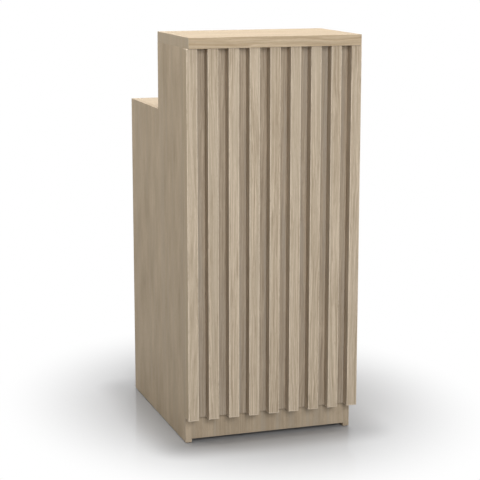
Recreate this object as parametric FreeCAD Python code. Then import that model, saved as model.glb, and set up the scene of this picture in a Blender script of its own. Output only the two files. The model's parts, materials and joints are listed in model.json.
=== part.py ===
import FreeCAD, Part
import os

# Shop counter with a slatted customer side, a high ledge and a lower work surface for staff.
# Millimetres. +Z is up, the customer side faces -Y, the staff side faces +Y.
# The origin is at floor level, in the middle of the counter's box.

Vector = FreeCAD.Vector
AXIS_X = Vector(1, 0, 0)
AXIS_Y = Vector(0, 1, 0)
AXIS_Z = Vector(0, 0, 1)

# Overall sizes
counter_height = 1150.0
ledge_step = 222.0
carcass_width = 500.0
carcass_depth = 572.0
upright_depth = 260.0

# Board thicknesses
board = 18.0
ledge_thickness = 30.0
worktop_thickness = 30.0
backing_thickness = 16.0
drawer_board = 12.0
drawer_base_board = 6.0

# Slat front
slat_count = 9
slat_width = 30.0
slat_depth = 30.0
slat_floor_gap = 79.0
front_side_reach = 4.0
ledge_front_reach = 8.0

# Base
kick_floor_gap = 12.0
bottom_panel_rise = 72.0
plinth_setback = 40.0
glide_radius = 8.0
glide_thickness = 2.0
glide_end_distance = 40.0
glide_nail_radius = 1.0
glide_nail_length = 12.0

# Edge rounding of the boards and of the slats
board_edge_round = 0.8
slat_edge_round = 1.0

# Drawer
rail_height = 40.0
drawer_front_height = 130.0
drawer_front_gap = 2.0
drawer_depth = 400.0
drawer_side_height = 100.0
drawer_side_lift = 12.0
drawer_groove_rise = 8.0
drawer_groove_depth = 6.0
drawer_groove_clearance = 0.5

# Telescopic runners, measured inwards from the side panel
runner_length = 400.0
runner_front_gap = 2.0
runner_rise = 50.0
runner_width = 12.7
runner_height = 45.0
runner_sheet = 1.2
runner_middle_offset = 3.0
runner_cabinet_flange = 9.5
runner_middle_flange = 8.0
runner_drawer_flange = 7.7
runner_slide_gap = 0.3
runner_screw_end_distance = 35.0
runner_screw_radius = 1.75
runner_screw_bite = 10.0
runner_head_radius = 3.2
runner_head_height = 1.2

# Drawer handle
handle_centres = 128.0
handle_radius = 5.0
handle_projection = 32.0
handle_bend_radius = 12.0
handle_rise = 58.0
handle_screw_radius = 2.0
handle_screw_bite = 10.0
handle_head_radius = 4.0
handle_head_height = 2.4

# Drawer lock
lock_drop = 24.0
lock_radius = 9.0
lock_flange_radius = 11.5
lock_flange_height = 2.0
lock_nut_across = 22.0
lock_nut_height = 3.0
lock_tail = 0.4
lock_barrel_radius = 6.0
lock_barrel_end_gap = 0.3
lock_turn_gap = 0.05
lock_keyway_width = 1.4
lock_keyway_height = 7.0
lock_keyway_depth = 3.0
lock_cam_bite = 9.0
lock_cam_width = 14.0
lock_cam_thickness = 2.0
lock_cam_screw_radius = 2.0
lock_cam_screw_bite = 8.0
lock_cam_head_radius = 3.6
lock_cam_head_height = 2.2

# Shelves
shelf_hole_radius = 2.5
shelf_hole_depth = 12.0
shelf_hole_step = 32.0
shelf_hole_count = 9
shelf_hole_first_rise = 170.0
shelf_hole_end_distance = 70.0
shelf_side_gap = 1.0
shelf_rear_gap = 30.0
shelf_front_gap = 40.0
shelf_pin_reach = 9.0
shelf_pin_plate_width = 9.0
shelf_pin_plate_thickness = 3.0

# Cable way
cable_port_radius = 27.0
cable_port_setback = 60.0
cable_notch_width = 80.0
cable_notch_depth = 60.0
grommet_wall = 3.0
grommet_flange_reach = 5.0
grommet_flange_height = 2.5
grommet_end_gap = 5.0

# Joint fittings
fit_gap = 0.1
cam_radius = 7.4
cam_depth = 12.0
cam_setback = 34.0
cam_end_distance = 60.0
cam_slot_length = 8.0
cam_slot_width = 1.6
cam_slot_depth = 2.0
bolt_radius = 3.0
bolt_thread_radius = 2.5
bolt_thread_length = 11.0
dowel_radius = 4.0
dowel_long_end = 20.0
dowel_short_end = 10.0
dowel_end_distance = 28.0
dowel_front_spread = 300.0
rail_dowel_offset = 13.0
front_cam_end_distance = 100.0
drawer_dowel_radius = 3.0
drawer_dowel_long_end = 18.0
drawer_dowel_short_end = 8.0
drawer_dowel_rise = 26.0

# Screws of the slat front
slat_screw_radius = 1.75
slat_screw_head_radius = 3.5
slat_screw_cover = 10.0
slat_screw_end_distance = 60.0
backing_screw_radius = 2.0
backing_screw_head_radius = 4.0
backing_screw_cover = 4.0
backing_screw_end_distance = 110.0
backing_screw_rows = 4
backing_screw_slat_step = 2.5
cross_slot_width = 1.0
cross_slot_depth = 1.2

# Places across the counter
half_carcass = carcass_width / 2
half_inside = half_carcass - board
front_width = carcass_width + 2 * front_side_reach
slat_pitch = (front_width - slat_width) / (slat_count - 1)
half_drawer = half_inside - runner_width
half_drawer_inside = half_drawer - drawer_board

# Places from front to rear
overall_depth = ledge_front_reach + slat_depth + backing_thickness + carcass_depth + handle_projection
ledge_front = -overall_depth / 2
slat_front = ledge_front + ledge_front_reach
backing_front = slat_front + slat_depth
carcass_front = backing_front + backing_thickness
carcass_rear = carcass_front + carcass_depth
upright_rear = carcass_front + upright_depth
inside_front = carcass_front + board
drawer_face = carcass_rear - board
drawer_end = drawer_face - drawer_depth
runner_rear = drawer_face - runner_front_gap
cable_port_y = inside_front + cable_port_setback

# Places above the floor
work_height = counter_height - ledge_step
upright_top = counter_height - ledge_thickness
low_top = work_height - worktop_thickness
bottom_panel_top = bottom_panel_rise + board
rail_bottom = low_top - rail_height
drawer_front_top = rail_bottom - drawer_front_gap
drawer_front_bottom = drawer_front_top - drawer_front_height
fixed_shelf_top = drawer_front_bottom - drawer_front_gap
fixed_shelf_bottom = fixed_shelf_top - board
drawer_side_bottom = drawer_front_bottom + drawer_side_lift
drawer_side_top = drawer_side_bottom + drawer_side_height
drawer_base_bottom = drawer_side_bottom + drawer_groove_rise
drawer_base_top = drawer_base_bottom + drawer_base_board
runner_z = drawer_side_bottom + runner_rise
handle_z = drawer_front_bottom + handle_rise
lock_z = drawer_front_top - lock_drop
shelf_row = shelf_hole_count // 2
shelf_hole_z = bottom_panel_top + shelf_hole_first_rise + shelf_hole_step * shelf_row
adjustable_shelf_bottom = shelf_hole_z + shelf_hole_radius

pieces = {}
groups = {}
cutters = {}


def box(x_span, y_span, z_span):
    size = (x_span[1] - x_span[0], y_span[1] - y_span[0], z_span[1] - z_span[0])
    return Part.makeBox(*size, Vector(x_span[0], y_span[0], z_span[0]))


def rod(radius, start, direction, length):
    return Part.makeCylinder(radius, length, start, direction)


def eased(shape, radius):
    return shape.makeFillet(radius, shape.Edges)


def eased_board(x_span, y_span, z_span):
    return eased(box(x_span, y_span, z_span), board_edge_round)


def profile(points, start, direction):
    # A flat closed outline, moved to start and swept along one direction.
    outline = Part.makePolygon(points + [points[0]])
    return Part.Face(outline).extrude(direction).translated(start)


def cut_from(node, *shapes):
    cutters.setdefault(node, []).extend(shapes)


def add_to(group, shape):
    groups.setdefault(group, []).append(shape)


def block(centre, half_sizes):
    low = centre - half_sizes
    return Part.makeBox(2 * half_sizes.x, 2 * half_sizes.y, 2 * half_sizes.z, low)


def along(direction, length):
    return Vector(abs(direction.x), abs(direction.y), abs(direction.z)) * length


def screw(head_point, direction, length, radius, head_radius, head_height, gap=0.0):
    # Countersunk screw, with its flat head at head_point. A gap makes the hole that the screw goes in.
    head = Part.makeCone(head_radius + gap, radius + gap, head_height, head_point, direction)
    shank = rod(radius + gap, head_point, direction, length + gap)
    return head.fuse(shank).removeSplitter()


def pan_screw(seat_point, direction, length, radius, head_radius, head_height):
    # Screw whose flat head stands on the surface at seat_point.
    head = rod(head_radius, seat_point - direction * head_height, direction, head_height)
    shank = rod(radius, seat_point, direction, length)
    return head.fuse(shank).removeSplitter()


def cross_slot(head_point, direction, length):
    side = AXIS_X if abs(direction.x) < 0.5 else AXIS_Y
    other = direction.cross(side)
    depth = along(direction, cross_slot_depth)
    first = block(head_point, along(side, length / 2) + along(other, cross_slot_width / 2) + depth)
    second = block(head_point, along(other, length / 2) + along(side, cross_slot_width / 2) + depth)
    return first.fuse(second)


def dowel(point, into, long_board, short_board):
    start = point - into * dowel_short_end
    length = dowel_short_end + dowel_long_end
    hole = rod(dowel_radius + fit_gap, start, into, length)
    add_to("dowels", rod(dowel_radius, start, into, length))
    cut_from(long_board, hole)
    cut_from(short_board, hole)


def cam_joint(point, into, face, cam_board, bolt_board, thickness=board):
    # The bolt stands in bolt_board and reaches into the edge of cam_board, where a disc grips it.
    centre = point + into * cam_setback + face * (thickness / 2)
    bolt_hole = rod(bolt_radius + fit_gap, point, into, cam_setback)
    thread_hole = rod(bolt_thread_radius + fit_gap, point - into * bolt_thread_length, into, bolt_thread_length)
    shank = rod(bolt_radius, point, into, cam_setback)
    thread = rod(bolt_thread_radius, point - into * bolt_thread_length, into, bolt_thread_length)
    slot_size = along(into, cam_slot_length / 2) + along(into.cross(face), cam_slot_width / 2)
    slot = block(centre, slot_size + along(face, cam_slot_depth))
    disc = rod(cam_radius, centre, face * -1, cam_depth)
    add_to("cam_discs", disc.cut([bolt_hole, slot]))
    add_to("cam_bolts", shank.fuse(thread).removeSplitter())
    cut_from(cam_board, rod(cam_radius + fit_gap, centre, face * -1, cam_depth), bolt_hole)
    cut_from(bolt_board, thread_hole)


def both_ends(start, end, distance):
    return (start + distance, end - distance)


# Side panels: tall under the ledge, and level with the work surface behind it.
def side_panel(node, side):
    outer = side * half_carcass
    points = [
        Vector(0, carcass_front, glide_thickness),
        Vector(0, carcass_rear, glide_thickness),
        Vector(0, carcass_rear, work_height),
        Vector(0, upright_rear, work_height),
        Vector(0, upright_rear, upright_top),
        Vector(0, carcass_front, upright_top),
    ]
    panel = profile(points, Vector(min(outer, side * half_inside), 0, 0), AXIS_X * board)
    sharp = Vector(0, upright_rear, work_height)
    chosen = []
    for edge in panel.Edges:
        ends = [Vector(0, vertex.Y, vertex.Z) for vertex in edge.Vertexes]
        if all((end - sharp).Length > board_edge_round for end in ends):
            chosen.append(edge)
    pieces[node] = panel.makeFillet(board_edge_round, chosen)


for side_name, side in (("left", -1), ("right", 1)):
    side_panel(side_name + "_side_panel", side)

# Carcass boards between the side panels
inside_span = (-half_inside, half_inside)
pieces["front_panel"] = eased_board(inside_span, (carcass_front, inside_front), (kick_floor_gap, upright_top))
pieces["bottom_panel"] = eased_board(
    inside_span, (inside_front, carcass_rear), (bottom_panel_rise, bottom_panel_top))
pieces["fixed_shelf"] = eased_board(
    inside_span, (inside_front, carcass_rear), (fixed_shelf_bottom, fixed_shelf_top))
pieces["rear_rail"] = eased_board(inside_span, (drawer_face, carcass_rear), (rail_bottom, low_top))
plinth_rear = carcass_rear - plinth_setback
pieces["rear_plinth"] = eased_board(
    inside_span, (plinth_rear - board, plinth_rear), (kick_floor_gap, bottom_panel_rise))

# Notch at the front of the fixed shelf, where cables drop behind the drawer
notch_half = cable_notch_width / 2
cut_from("fixed_shelf", box(
    (-notch_half, notch_half),
    (inside_front - board_edge_round, inside_front + cable_notch_depth),
    (fixed_shelf_bottom - board, fixed_shelf_top + board)))

# Ledge on the uprights, over the slat front, and the worktop between the side panels
pieces["ledge"] = eased_board(
    (-half_carcass, half_carcass), (ledge_front, upright_rear), (upright_top, counter_height))
pieces["worktop"] = eased_board(inside_span, (inside_front, carcass_rear), (low_top, work_height))

# Cable grommet pressed into the worktop under the ledge
grommet_radius = cable_port_radius + grommet_wall
grommet_bottom = low_top + grommet_end_gap
grommet_top = work_height + grommet_flange_height
grommet_base = Vector(0, cable_port_y, grommet_bottom)
grommet_tube = rod(grommet_radius, grommet_base, AXIS_Z, grommet_top - grommet_bottom)
grommet_flange = rod(
    grommet_radius + grommet_flange_reach, Vector(0, cable_port_y, work_height), AXIS_Z, grommet_flange_height)
grommet_bore = rod(cable_port_radius, grommet_base, AXIS_Z, grommet_top - grommet_bottom)
pieces["cable_grommet"] = grommet_tube.fuse(grommet_flange).cut(grommet_bore).removeSplitter()
cut_from("worktop", rod(grommet_radius + fit_gap, Vector(0, cable_port_y, low_top), AXIS_Z, worktop_thickness))

# Slat front: a backing board with square slats
slat_z = (slat_floor_gap, upright_top)
pieces["slat_backing"] = eased_board((-front_width / 2, front_width / 2), (backing_front, carcass_front), slat_z)
slat_screw_length = backing_thickness + slat_depth - slat_screw_cover
slat_screw_head = slat_screw_head_radius - slat_screw_radius
slat_screw_heights = [
    slat_floor_gap + slat_screw_end_distance,
    (slat_floor_gap + upright_top) / 2,
    upright_top - slat_screw_end_distance,
]
for number in range(1, slat_count + 1):
    node = "slat_%d" % number
    slat_left = -front_width / 2 + (number - 1) * slat_pitch
    slat = box((slat_left, slat_left + slat_width), (slat_front, backing_front), slat_z)
    pieces[node] = eased(slat, slat_edge_round)
    for height in slat_screw_heights:
        head_point = Vector(slat_left + slat_width / 2, carcass_front, height)
        sizes = (slat_screw_length, slat_screw_radius, slat_screw_head_radius, slat_screw_head)
        hole = screw(head_point, AXIS_Y * -1, *sizes, gap=fit_gap)
        add_to("slat_screws", screw(head_point, AXIS_Y * -1, *sizes))
        cut_from(node, hole)
        cut_from("slat_backing", hole)

# Screws from inside the carcass that hold the slat front
backing_screw_length = board + backing_thickness - backing_screw_cover
backing_screw_head = backing_screw_head_radius - backing_screw_radius
backing_screw_low = slat_floor_gap + backing_screw_end_distance
backing_screw_high = upright_top - backing_screw_end_distance
for row in range(backing_screw_rows):
    height = backing_screw_low + row * (backing_screw_high - backing_screw_low) / (backing_screw_rows - 1)
    for side in (-1, 1):
        head_point = Vector(side * backing_screw_slat_step * slat_pitch, inside_front, height)
        sizes = (backing_screw_length, backing_screw_radius, backing_screw_head_radius, backing_screw_head)
        hole = screw(head_point, AXIS_Y * -1, *sizes, gap=fit_gap)
        slot = cross_slot(head_point, AXIS_Y, backing_screw_head_radius)
        add_to("backing_screws", screw(head_point, AXIS_Y * -1, *sizes).cut(slot))
        cut_from("front_panel", hole)
        cut_from("slat_backing", hole)

# Knock-down joints and dowels of the carcass
front_mid = carcass_front + board / 2
front_panel_cams = list(both_ends(kick_floor_gap, upright_top, front_cam_end_distance))
front_panel_cams.append(sum(front_panel_cams) / 2)
for side_name, side in (("left", -1), ("right", 1)):
    side_node = side_name + "_side_panel"
    inner = side * half_inside
    middle = side * (half_inside + board / 2)
    inward = AXIS_X * -side
    for y in both_ends(carcass_front, upright_rear, cam_end_distance):
        cam_joint(Vector(middle, y, upright_top), AXIS_Z * -1, inward, side_node, "ledge")
    for y in both_ends(carcass_front, upright_rear, dowel_end_distance):
        dowel(Vector(middle, y, upright_top), AXIS_Z * -1, side_node, "ledge")
    for node, bottom, thickness in (
            ("bottom_panel", bottom_panel_rise, board),
            ("fixed_shelf", fixed_shelf_bottom, board),
            ("worktop", low_top, worktop_thickness)):
        mid_height = bottom + thickness / 2
        for y in both_ends(inside_front, carcass_rear, cam_end_distance):
            cam_joint(Vector(inner, y, mid_height), inward, AXIS_Z * -1, node, side_node, thickness)
        for y in both_ends(inside_front, carcass_rear, dowel_end_distance):
            dowel(Vector(inner, y, mid_height), inward, node, side_node)
    for height in front_panel_cams:
        cam_joint(Vector(inner, front_mid, height), inward, AXIS_Y, "front_panel", side_node)
    rail_height_middle = rail_bottom + rail_height / 2
    plinth_middle = (kick_floor_gap + bottom_panel_rise) / 2
    for node, mid_y, height in (
            ("rear_rail", carcass_rear - board / 2, rail_height_middle),
            ("rear_plinth", plinth_rear - board / 2, plinth_middle)):
        cam_joint(Vector(inner, mid_y, height), inward, AXIS_Y * -1, node, side_node)
        dowel(Vector(inner, mid_y, height - rail_dowel_offset), inward, node, side_node)
    front_x = side * dowel_front_spread / 2
    dowel(Vector(front_x, front_mid, upright_top), AXIS_Z * -1, "front_panel", "ledge")
    for node, mid_height in (
            ("worktop", low_top + worktop_thickness / 2),
            ("fixed_shelf", fixed_shelf_bottom + board / 2),
            ("bottom_panel", bottom_panel_rise + board / 2)):
        dowel(Vector(front_x, inside_front, mid_height), AXIS_Y, node, "front_panel")

# Adjustable shelf on four spade pins, with spare holes above and below
adjustable_half = half_inside - shelf_side_gap
pieces["adjustable_shelf"] = eased_board(
    (-adjustable_half, adjustable_half),
    (inside_front + shelf_front_gap, carcass_rear - shelf_rear_gap),
    (adjustable_shelf_bottom, adjustable_shelf_bottom + board))
for side_name, side in (("left", -1), ("right", 1)):
    inner = side * half_inside
    inward = AXIS_X * -side
    for y in both_ends(inside_front, carcass_rear, shelf_hole_end_distance):
        for row in range(shelf_hole_count):
            height = bottom_panel_top + shelf_hole_first_rise + row * shelf_hole_step
            mouth = Vector(inner, y, height)
            cut_from(side_name + "_side_panel", rod(shelf_hole_radius, mouth, inward * -1, shelf_hole_depth))
            if row == shelf_row:
                pin = rod(shelf_hole_radius - fit_gap, mouth, inward * -1, shelf_hole_depth - fit_gap)
                plate_top = height + shelf_hole_radius
                plate_x = sorted((inner, inner - side * shelf_pin_reach))
                plate_y = (y - shelf_pin_plate_width / 2, y + shelf_pin_plate_width / 2)
                plate = box(plate_x, plate_y, (plate_top - shelf_pin_plate_thickness, plate_top))
                add_to("shelf_pins", plate.fuse(pin).removeSplitter())

# Nail-on floor glides under the side panels
for side_name, side in (("left", -1), ("right", 1)):
    for y in both_ends(carcass_front, carcass_rear, glide_end_distance):
        foot = Vector(side * (half_inside + board / 2), y, 0)
        seat = foot + AXIS_Z * glide_thickness
        nail = rod(glide_nail_radius, foot, AXIS_Z, glide_thickness + glide_nail_length)
        add_to("floor_glides", rod(glide_radius, foot, AXIS_Z, glide_thickness).fuse(nail).removeSplitter())
        cut_from(side_name + "_side_panel", rod(glide_nail_radius + fit_gap, seat, AXIS_Z, glide_nail_length))

# Drawer box
drawer_z = (drawer_side_bottom, drawer_side_top)
drawer_front_half = half_inside - drawer_front_gap
pieces["drawer_front"] = eased_board(
    (-drawer_front_half, drawer_front_half), (drawer_face, carcass_rear), (drawer_front_bottom, drawer_front_top))
for side_name, side in (("left", -1), ("right", 1)):
    span = sorted((side * half_drawer, side * half_drawer_inside))
    pieces["drawer_%s_side" % side_name] = eased_board(span, (drawer_end, drawer_face), drawer_z)
pieces["drawer_back"] = eased_board(
    (-half_drawer_inside, half_drawer_inside), (drawer_end, drawer_end + drawer_board), drawer_z)
drawer_inside_y = (drawer_end + drawer_board, drawer_face)


def drawer_base_plate(reach):
    return box(
        (-half_drawer_inside - reach, half_drawer_inside + reach),
        (drawer_inside_y[0] - reach, drawer_inside_y[1] + reach),
        (drawer_base_bottom, drawer_base_top))


pieces["drawer_base"] = drawer_base_plate(drawer_groove_depth - drawer_groove_clearance)
for node in ("drawer_front", "drawer_left_side", "drawer_right_side", "drawer_back"):
    cut_from(node, drawer_base_plate(drawer_groove_depth))


def drawer_dowel(point, into, long_board, short_board):
    start = point - into * drawer_dowel_short_end
    length = drawer_dowel_short_end + drawer_dowel_long_end
    hole = rod(drawer_dowel_radius + fit_gap, start, into, length)
    add_to("drawer_dowels", rod(drawer_dowel_radius, start, into, length))
    cut_from(long_board, hole)
    cut_from(short_board, hole)


for side_name, side in (("left", -1), ("right", 1)):
    side_node = "drawer_%s_side" % side_name
    side_middle = side * (half_drawer - drawer_board / 2)
    heights = (drawer_side_bottom + drawer_dowel_rise, drawer_side_top - drawer_dowel_rise)
    for height in heights:
        drawer_dowel(Vector(side_middle, drawer_face, height), AXIS_Y * -1, side_node, "drawer_front")
        back_point = Vector(side * half_drawer_inside, drawer_end + drawer_board / 2, height)
        drawer_dowel(back_point, AXIS_X * -side, "drawer_back", side_node)

# Telescopic runners: three nested channels on each side
middle_half = runner_height / 2 - runner_sheet - runner_slide_gap
inner_half = middle_half - runner_sheet - runner_slide_gap


def channel(side, web, flange, half_height):
    # web and flange are spans measured inwards from the side panel.
    y_span = (runner_rear - runner_length, runner_rear)
    web_x = sorted(side * (half_inside - offset) for offset in web)
    flange_x = sorted(side * (half_inside - offset) for offset in flange)
    shape = box(web_x, y_span, (runner_z - half_height, runner_z + half_height))
    upper = box(flange_x, y_span, (runner_z + half_height - runner_sheet, runner_z + half_height))
    lower = box(flange_x, y_span, (runner_z - half_height, runner_z - half_height + runner_sheet))
    return shape.fuse([upper, lower]).removeSplitter()


runner_screw_places = list(both_ends(runner_rear - runner_length, runner_rear, runner_screw_end_distance))
runner_screw_places.append(sum(runner_screw_places) / 2)
for side_name, side in (("left", -1), ("right", 1)):
    drawer_web = (runner_width - runner_sheet, runner_width)
    middle_web = (runner_middle_offset, runner_middle_offset + runner_sheet)
    pieces["runner_cabinet_" + side_name] = channel(
        side, (0, runner_sheet), (0, runner_cabinet_flange), runner_height / 2)
    pieces["runner_middle_" + side_name] = channel(
        side, middle_web, (runner_middle_offset, runner_middle_offset + runner_middle_flange), middle_half)
    pieces["runner_drawer_" + side_name] = channel(
        side, drawer_web, (runner_width - runner_drawer_flange, runner_width), inner_half)
    outward = AXIS_X * side
    sizes = (runner_screw_radius, runner_head_radius, runner_head_height)
    for y in runner_screw_places:
        cabinet_seat = Vector(side * (half_inside - runner_sheet), y, runner_z)
        drawer_seat = Vector(side * (half_inside - drawer_web[0]), y, runner_z)
        length = runner_sheet + runner_screw_bite
        add_to("runner_screws", pan_screw(cabinet_seat, outward, length, *sizes))
        add_to("drawer_runner_screws", pan_screw(drawer_seat, outward * -1, length, *sizes))
        cabinet_hole = rod(runner_screw_radius + fit_gap, cabinet_seat, outward, length)
        drawer_hole = rod(runner_screw_radius + fit_gap, drawer_seat, outward * -1, length)
        cut_from("runner_cabinet_" + side_name, cabinet_hole)
        cut_from(side_name + "_side_panel", cabinet_hole)
        cut_from("runner_drawer_" + side_name, drawer_hole)
        cut_from("drawer_%s_side" % side_name, drawer_hole)


# Bow handle: a round bar bent twice, screwed on from inside the drawer
def bow_handle():
    half = handle_centres / 2
    bar_y = carcass_rear + handle_projection - handle_radius
    slant = handle_bend_radius * (1 - 0.5 ** 0.5)
    left_foot = Vector(-half, carcass_rear, handle_z)
    right_foot = Vector(half, carcass_rear, handle_z)
    left_low = Vector(-half, bar_y - handle_bend_radius, handle_z)
    left_bend = Vector(-half + slant, bar_y - slant, handle_z)
    left_high = Vector(-half + handle_bend_radius, bar_y, handle_z)
    right_high = Vector(half - handle_bend_radius, bar_y, handle_z)
    right_bend = Vector(half - slant, bar_y - slant, handle_z)
    right_low = Vector(half, bar_y - handle_bend_radius, handle_z)
    path = Part.Wire([
        Part.LineSegment(left_foot, left_low).toShape(),
        Part.Arc(left_low, left_bend, left_high).toShape(),
        Part.LineSegment(left_high, right_high).toShape(),
        Part.Arc(right_high, right_bend, right_low).toShape(),
        Part.LineSegment(right_low, right_foot).toShape(),
    ])
    section = Part.Wire(Part.makeCircle(handle_radius, left_foot, AXIS_Y))
    return path.makePipeShell([section], True, False)


pieces["drawer_handle"] = bow_handle()
for side in (-1, 1):
    seat = Vector(side * handle_centres / 2, drawer_face, handle_z)
    length = board + handle_screw_bite
    bolt = pan_screw(seat, AXIS_Y, length, handle_screw_radius, handle_head_radius, handle_head_height)
    slot = cross_slot(seat - AXIS_Y * handle_head_height, AXIS_Y, handle_head_radius)
    hole = rod(handle_screw_radius + fit_gap, seat, AXIS_Y, length + fit_gap)
    add_to("handle_screws", bolt.cut(slot))
    cut_from("drawer_front", hole)
    cut_from("drawer_handle", hole)

# Drawer lock: a housing held by a nut, and a barrel that turns a cam up behind the rear rail
lock_face = Vector(0, carcass_rear, lock_z)
lock_end = drawer_face - lock_nut_height - lock_tail
lock_length = carcass_rear - lock_end
flange_face = carcass_rear + lock_flange_height
lock_inward = AXIS_Y * -1
lock_tube = rod(lock_radius, lock_face, lock_inward, lock_length)
lock_flange = rod(lock_flange_radius, lock_face, AXIS_Y, lock_flange_height)
barrel_start = Vector(0, flange_face, lock_z)
barrel_length = flange_face - lock_end + lock_barrel_end_gap
barrel_hole = rod(lock_barrel_radius + lock_turn_gap, barrel_start, lock_inward, barrel_length)
pieces["lock_housing"] = lock_tube.fuse(lock_flange).cut(barrel_hole).removeSplitter()
cut_from("drawer_front", rod(lock_radius + fit_gap, lock_face, lock_inward, board))


def hex_nut():
    corner = lock_nut_across / 3 ** 0.5
    points = []
    for turn in range(6):
        spoke = Vector(corner, 0, 0)
        points.append(FreeCAD.Rotation(AXIS_Y, 60.0 * turn).multVec(spoke))
    nut = profile(points, Vector(0, drawer_face, lock_z), lock_inward * lock_nut_height)
    return nut.cut(rod(lock_radius + fit_gap, Vector(0, drawer_face, lock_z), lock_inward, lock_nut_height))


pieces["lock_nut"] = hex_nut()
keyway_size = Vector(lock_keyway_width / 2, lock_keyway_depth, lock_keyway_height / 2)
barrel = rod(lock_barrel_radius, barrel_start, lock_inward, barrel_length)
pieces["lock_barrel"] = barrel.cut(block(barrel_start, keyway_size))

# The cam lies level while the drawer is free and reaches past the drawer front's top edge when turned up
cam_seat = lock_end - lock_barrel_end_gap
cam_reach = lock_drop + drawer_front_gap + lock_cam_bite
cam_half = lock_cam_width / 2
cam_y = (cam_seat - lock_cam_thickness, cam_seat)
cam_plate = box((0, cam_reach - cam_half), cam_y, (lock_z - cam_half, lock_z + cam_half))
cam_root = rod(cam_half, Vector(0, cam_seat, lock_z), lock_inward, lock_cam_thickness)
cam_tip = rod(cam_half, Vector(cam_reach - cam_half, cam_seat, lock_z), lock_inward, lock_cam_thickness)
pieces["lock_cam"] = cam_plate.fuse([cam_root, cam_tip]).removeSplitter()
cam_screw_seat = Vector(0, cam_seat - lock_cam_thickness, lock_z)
cam_screw_length = lock_cam_thickness + lock_cam_screw_bite
pieces["lock_cam_screw"] = pan_screw(
    cam_screw_seat, AXIS_Y, cam_screw_length, lock_cam_screw_radius, lock_cam_head_radius, lock_cam_head_height)
cam_screw_hole = rod(lock_cam_screw_radius + fit_gap, cam_screw_seat, AXIS_Y, cam_screw_length + fit_gap)
cut_from("lock_cam", cam_screw_hole)
cut_from("lock_barrel", cam_screw_hole)

# One file for each piece, and one for each group of like fittings
os.makedirs("parts", exist_ok=True)
for node, shape in pieces.items():
    if node in cutters:
        shape = shape.cut(cutters[node])
    shape.exportStep("parts/%s.step" % node)
for node, shapes in groups.items():
    Part.makeCompound(shapes).exportStep("parts/%s.step" % node)
print(len(pieces) + len(groups), "nodes")
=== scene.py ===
import json
import math

import bmesh
import bpy
from mathutils import Euler, Matrix, Vector


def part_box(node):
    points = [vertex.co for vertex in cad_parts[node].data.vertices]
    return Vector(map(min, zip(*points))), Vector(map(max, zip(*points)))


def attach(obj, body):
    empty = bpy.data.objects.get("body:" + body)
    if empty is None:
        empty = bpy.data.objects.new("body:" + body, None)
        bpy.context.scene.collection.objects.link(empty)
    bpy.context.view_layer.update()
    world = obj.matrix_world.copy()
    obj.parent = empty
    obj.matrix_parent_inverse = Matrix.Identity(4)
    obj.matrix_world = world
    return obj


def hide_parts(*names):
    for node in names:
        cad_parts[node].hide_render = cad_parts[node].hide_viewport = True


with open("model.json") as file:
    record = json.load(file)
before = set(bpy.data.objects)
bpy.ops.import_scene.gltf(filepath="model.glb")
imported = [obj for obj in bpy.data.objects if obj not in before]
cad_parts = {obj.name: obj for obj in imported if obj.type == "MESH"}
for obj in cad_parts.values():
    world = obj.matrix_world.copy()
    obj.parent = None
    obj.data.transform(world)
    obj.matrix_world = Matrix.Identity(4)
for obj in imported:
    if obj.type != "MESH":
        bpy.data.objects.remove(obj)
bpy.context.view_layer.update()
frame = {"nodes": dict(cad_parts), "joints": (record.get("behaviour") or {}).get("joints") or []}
nodes = frame["nodes"]
print("frame loaded:", len(nodes), "nodes")


# small helpers

def tone(red, green, blue):
    # screen colour 0-255 to the linear colour that a socket takes
    def straight(value):
        share = value / 255
        return share / 12.92 if share <= 0.04045 else ((share + 0.055) / 1.055) ** 2.4
    return (straight(red), straight(green), straight(blue), 1.0)


def setSocket(tree, socket, value):
    # links an output socket, or sets a plain value
    if isinstance(value, bpy.types.NodeSocket):
        tree.links.new(value, socket)
    else:
        socket.default_value = value


def addNode(tree, kind, **settings):
    # a setting is a property of the node, an input by its name, or an input by number as in0, in1
    node = tree.nodes.new("ShaderNode" + kind)
    for name, value in settings.items():
        if hasattr(node, name):
            setattr(node, name, value)
        elif name.startswith("in") and name[2:].isdigit():
            setSocket(tree, node.inputs[int(name[2:])], value)
        else:
            setSocket(tree, node.inputs[name.replace("_", " ")], value)
    return node


def mathNode(tree, operation, first, second=0.0, clamp=False):
    return addNode(tree, "Math", operation=operation, use_clamp=clamp, in0=first, in1=second).outputs[0]


def vectorNode(tree, operation, first, second=(0.0, 0.0, 0.0), third=(0.0, 0.0, 0.0)):
    node = addNode(tree, "VectorMath", operation=operation, in0=first, in1=second, in2=third)
    return node.outputs["Value" if operation in ("LENGTH", "DOT_PRODUCT") else "Vector"]


def noise(tree, vector, scale, detail=2.0, roughness=0.5):
    # scale is per metre along each axis
    stretched = vectorNode(tree, "MULTIPLY", vector, scale)
    return addNode(tree, "TexNoise", Vector=stretched, Scale=1.0, Detail=detail, Roughness=roughness).outputs


def ramp(tree, value, low, high):
    return addNode(tree, "MapRange", interpolation_type="SMOOTHSTEP", Value=value, From_Min=low,
                   From_Max=high).outputs[0]


def mixColor(tree, factor, first, second, blendType="MIX"):
    return addNode(tree, "Mix", data_type="RGBA", blend_type=blendType, in0=factor, in6=first,
                   in7=second).outputs[2]


def newGroup(name, inputs, outputs):
    group = bpy.data.node_groups.new(name, "ShaderNodeTree")
    for socketName, kind, value in inputs:
        socket = group.interface.new_socket(socketName, in_out="INPUT", socket_type="NodeSocket" + kind)
        if value is not None:
            socket.default_value = value
    for socketName, kind in outputs:
        group.interface.new_socket(socketName, in_out="OUTPUT", socket_type="NodeSocket" + kind)
    return group, group.nodes.new("NodeGroupInput").outputs, group.nodes.new("NodeGroupOutput").inputs


# shared effects

noiseMiddle = 0.5
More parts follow.
